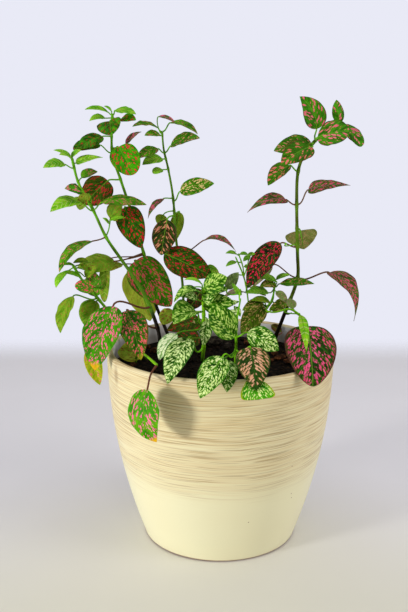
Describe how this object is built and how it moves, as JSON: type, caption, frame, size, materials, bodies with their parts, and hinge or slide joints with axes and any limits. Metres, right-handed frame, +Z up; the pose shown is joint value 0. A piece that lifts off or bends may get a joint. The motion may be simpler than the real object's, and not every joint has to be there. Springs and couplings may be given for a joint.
{
  "type": "potted polka dot plant",
  "caption": "Polka dot plant with pink-spotted and white-splashed leaves on thin upright stems, growing in dark compost in a cream glazed ceramic pot with a brushed band.",
  "frame": {"origin": "on the floor, at the centre of the underside of the pot's foot", "axes": "+Z up the pot's axis; -Y towards the viewer, the side that the plant turns its best leaves to; +X to the viewer's right"},
  "size_m": [0.2073, 0.168, 0.291],
  "materials": {
    "pot_glaze": "satin",
    "compost": "matte",
    "stem": "satin",
    "leaf_pink": "satin",
    "leaf_white": "satin"
  },
  "bodies": {
    "root": {"pot": "pot_glaze", "soil": "compost", "stem_front_trailing": "stem", "stem_left_inner": "stem", "stem_left_low": "stem", "stem_left_tall": "stem", "stem_middle": "stem", "stem_right_low": "stem", "stem_right_tall": "stem", "stem_seedling": "stem", "stem_white_left": "stem", "stem_white_right": "stem", "leaf_front_trailing_01": "leaf_pink", "leaf_left_inner_01": "leaf_pink", "leaf_left_inner_02": "leaf_pink", "leaf_left_inner_03": "leaf_pink", "leaf_left_inner_04": "leaf_pink", "leaf_left_inner_05": "leaf_pink", "leaf_left_inner_06": "leaf_pink", "leaf_left_inner_07": "leaf_pink", "leaf_left_inner_08": "leaf_pink", "leaf_left_inner_09": "leaf_pink", "leaf_left_low_01": "leaf_pink", "leaf_left_low_02": "leaf_pink", "leaf_left_low_03": "leaf_pink", "leaf_left_tall_01": "leaf_pink", "leaf_left_tall_02": "leaf_pink", "leaf_left_tall_03": "leaf_pink", "leaf_left_tall_04": "leaf_pink", "leaf_left_tall_05": "leaf_pink", "leaf_left_tall_06": "leaf_pink", "leaf_left_tall_07": "leaf_pink", "leaf_middle_01": "leaf_pink", "leaf_middle_02": "leaf_pink", "leaf_middle_03": "leaf_pink", "leaf_middle_04": "leaf_pink", "leaf_middle_05": "leaf_pink", "leaf_middle_06": "leaf_pink", "leaf_middle_07": "leaf_pink", "leaf_right_low_01": "leaf_pink", "leaf_right_low_02": "leaf_pink", "leaf_right_low_03": "leaf_pink", "leaf_right_tall_01": "leaf_pink", "leaf_right_tall_02": "leaf_pink", "leaf_right_tall_03": "leaf_pink", "leaf_right_tall_04": "leaf_pink", "leaf_right_tall_05": "leaf_pink", "leaf_right_tall_06": "leaf_pink", "leaf_right_tall_07": "leaf_pink", "leaf_right_tall_08": "leaf_pink", "leaf_right_tall_09": "leaf_pink", "leaf_right_tall_10": "leaf_pink", "leaf_right_tall_11": "leaf_pink", "leaf_white_left_01": "leaf_white", "leaf_white_left_02": "leaf_white", "leaf_white_right_01": "leaf_white", "leaf_white_right_02": "leaf_white", "leaf_white_right_03": "leaf_white", "leaf_white_right_04": "leaf_white", "leaf_white_right_05": "leaf_white"}
  },
  "joints": []
}
